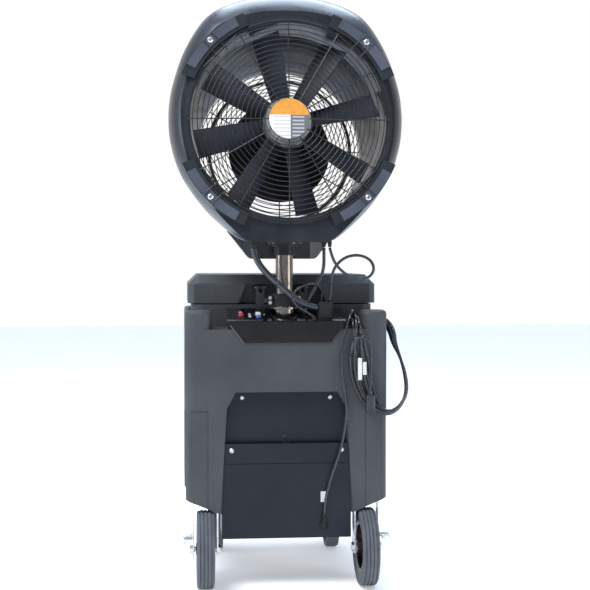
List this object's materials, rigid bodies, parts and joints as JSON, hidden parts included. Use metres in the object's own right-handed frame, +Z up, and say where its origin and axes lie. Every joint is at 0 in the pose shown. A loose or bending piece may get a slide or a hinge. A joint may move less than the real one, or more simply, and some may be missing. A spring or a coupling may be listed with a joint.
{
  "type": "portable misting fan",
  "caption": "Large ducted fan head on a telescopic mast above an insulated, lidded water tank on wheels, with hoses, console, pump room and a hung mains cord.",
  "frame": {"origin": "on the floor, under the middle of the bounding box of the machine without its cords", "axes": "+X to the right seen from the service side, +Y the way the fan blows, +Z up"},
  "size_m": [0.8061, 0.7399, 1.9613],
  "materials": {
    "tank_plastic": "rotomoulded, slightly grained, charcoal",
    "head_plastic": "rotomoulded, slightly grained, near black",
    "gloss_black": "piano black gloss",
    "panel_paint": "satin blue-black powder coat",
    "stainless": "brushed, warm grey",
    "zinc": "bright zinc plate",
    "black_steel": "satin black coated steel",
    "tyre_rubber": "matt black ribbed tread",
    "black_rubber": "matt black",
    "cord_jacket": "satin black jacket",
    "rim_plastic": "black moulded",
    "blade_black": "matt black with a grey-blue sheen",
    "white_tag": "plain white",
    "red_button": "gloss",
    "blue_button": "gloss",
    "white_button": "gloss",
    "circuit": "green board",
    "filter_body": "translucent-look blue"
  },
  "bodies": {
    "base": {"tank_shell": "tank_plastic", "drain_plug": "black_rubber", "service_back_plate": "panel_paint", "cover_band": "panel_paint", "pump_cover": "panel_paint", "cover_screws": "zinc", "port_grommet": "black_rubber", "cord_gland": "black_rubber", "mains_cord": "cord_jacket", "mains_coil": "cord_jacket", "mains_plug": "cord_jacket", "cord_tags": "white_tag", "pump_motor": "black_steel", "pump_head": "rim_plastic", "water_filter": "filter_body", "console_deck": "gloss_black", "console_trim": "gloss_black", "console_panels": "gloss_black", "control_board": "circuit", "mast_sleeve": "stainless", "clamp_collar": "black_steel", "mast_bolts": "zinc", "rear_forks": "zinc", "rear_axles": "zinc", "caster_plates": "black_steel", "hose_thick": "cord_jacket", "hose_thin": "cord_jacket", "cable_loop": "cord_jacket", "deck_glands": "black_rubber", "lid_hinge_pins": "zinc"},
    "clamp": {"clamp_lever": "black_steel"},
    "power_key": {"power_button": "red_button"},
    "mist_key": {"mist_button": "white_button"},
    "fan_key": {"fan_button": "blue_button"},
    "lid": {"lid": "tank_plastic", "lid_gasket": "black_rubber"},
    "rear_wheel_left": {"rear_tyre_left": "tyre_rubber", "rear_rim_left": "rim_plastic"},
    "rear_wheel_right": {"rear_tyre_right": "tyre_rubber", "rear_rim_right": "rim_plastic"},
    "brake_left": {"brake_pedal_left": "zinc"},
    "brake_right": {"brake_pedal_right": "zinc"},
    "caster_left": {"caster_fork_left": "black_steel"},
    "caster_right": {"caster_fork_right": "black_steel"},
    "caster_roller_left": {"caster_wheel_left": "tyre_rubber"},
    "caster_roller_right": {"caster_wheel_right": "tyre_rubber"},
    "mast": {"mast_tube": "stainless", "mast_bush": "black_steel"},
    "head": {"swivel_pan": "head_plastic", "head_shell": "head_plastic", "rear_bezel": "head_plastic", "bezel_trims": "gloss_black", "guard_screws": "zinc", "rear_guard": "black_steel", "motor_plate": "black_steel", "fan_motor": "black_steel", "front_guard": "black_steel", "mist_ring": "stainless", "hose_stubs": "black_rubber"},
    "fan": {"impeller": "blade_black"}
  },
  "joints": [
    {"name": "mast_slide", "type": "slide", "parent": "base", "child": "mast", "axis": [0, 0, 1], "range_m": [0, 0.25]},
    {"name": "head_swivel", "type": "hinge", "parent": "mast", "child": "head", "pos_m": [0, -0.17, 1.133], "axis": [0, 0, 1], "range_deg": [-45, 45]},
    {"name": "fan_spin", "type": "hinge", "parent": "head", "child": "fan", "pos_m": [0, -0.24284, 1.52756], "axis": [0, 0.9976, -0.0698], "continuous": true},
    {"name": "lid_hinge", "type": "hinge", "parent": "base", "child": "lid", "pos_m": [0, -0.092, 0.985], "axis": [1, 0, 0], "range_deg": [0, 26]},
    {"name": "clamp_turn", "type": "hinge", "parent": "base", "child": "clamp", "pos_m": [-0.0663, -0.17, 0.945], "axis": [1, 0, 0], "range_deg": [-90, 0]},
    {"name": "power_press", "type": "slide", "parent": "base", "child": "power_key", "axis": [0, 0.2918, -0.9565], "range_m": [0, 0.002], "stiffness_N_per_m": 400, "springref_m": -0.001},
    {"name": "mist_press", "type": "slide", "parent": "base", "child": "mist_key", "axis": [0, 0.2918, -0.9565], "range_m": [0, 0.002], "stiffness_N_per_m": 400, "springref_m": -0.001},
    {"name": "fan_press", "type": "slide", "parent": "base", "child": "fan_key", "axis": [0, 0.2918, -0.9565], "range_m": [0, 0.002], "stiffness_N_per_m": 400, "springref_m": -0.001},
    {"name": "rear_spin_left", "type": "hinge", "parent": "base", "child": "rear_wheel_left", "pos_m": [-0.267, -0.24, 0.127], "axis": [1, 0, 0], "continuous": true},
    {"name": "brake_press_left", "type": "hinge", "parent": "base", "child": "brake_left", "pos_m": [-0.325, -0.24, 0.168], "axis": [1, 0, 0], "range_deg": [0, 25]},
    {"name": "caster_swivel_left", "type": "hinge", "parent": "base", "child": "caster_left", "pos_m": [-0.215, 0.305, 0.235], "axis": [0, 0, 1], "continuous": true},
    {"name": "caster_spin_left", "type": "hinge", "parent": "caster_left", "child": "caster_roller_left", "pos_m": [-0.215, 0.26, 0.1], "axis": [1, 0, 0], "continuous": true},
    {"name": "rear_spin_right", "type": "hinge", "parent": "base", "child": "rear_wheel_right", "pos_m": [0.267, -0.24, 0.127], "axis": [1, 0, 0], "continuous": true},
    {"name": "brake_press_right", "type": "hinge", "parent": "base", "child": "brake_right", "pos_m": [0.325, -0.24, 0.168], "axis": [1, 0, 0], "range_deg": [0, 25]},
    {"name": "caster_swivel_right", "type": "hinge", "parent": "base", "child": "caster_right", "pos_m": [0.215, 0.305, 0.235], "axis": [0, 0, 1], "continuous": true},
    {"name": "caster_spin_right", "type": "hinge", "parent": "caster_right", "child": "caster_roller_right", "pos_m": [0.215, 0.26, 0.1], "axis": [1, 0, 0], "continuous": true}
  ]
}
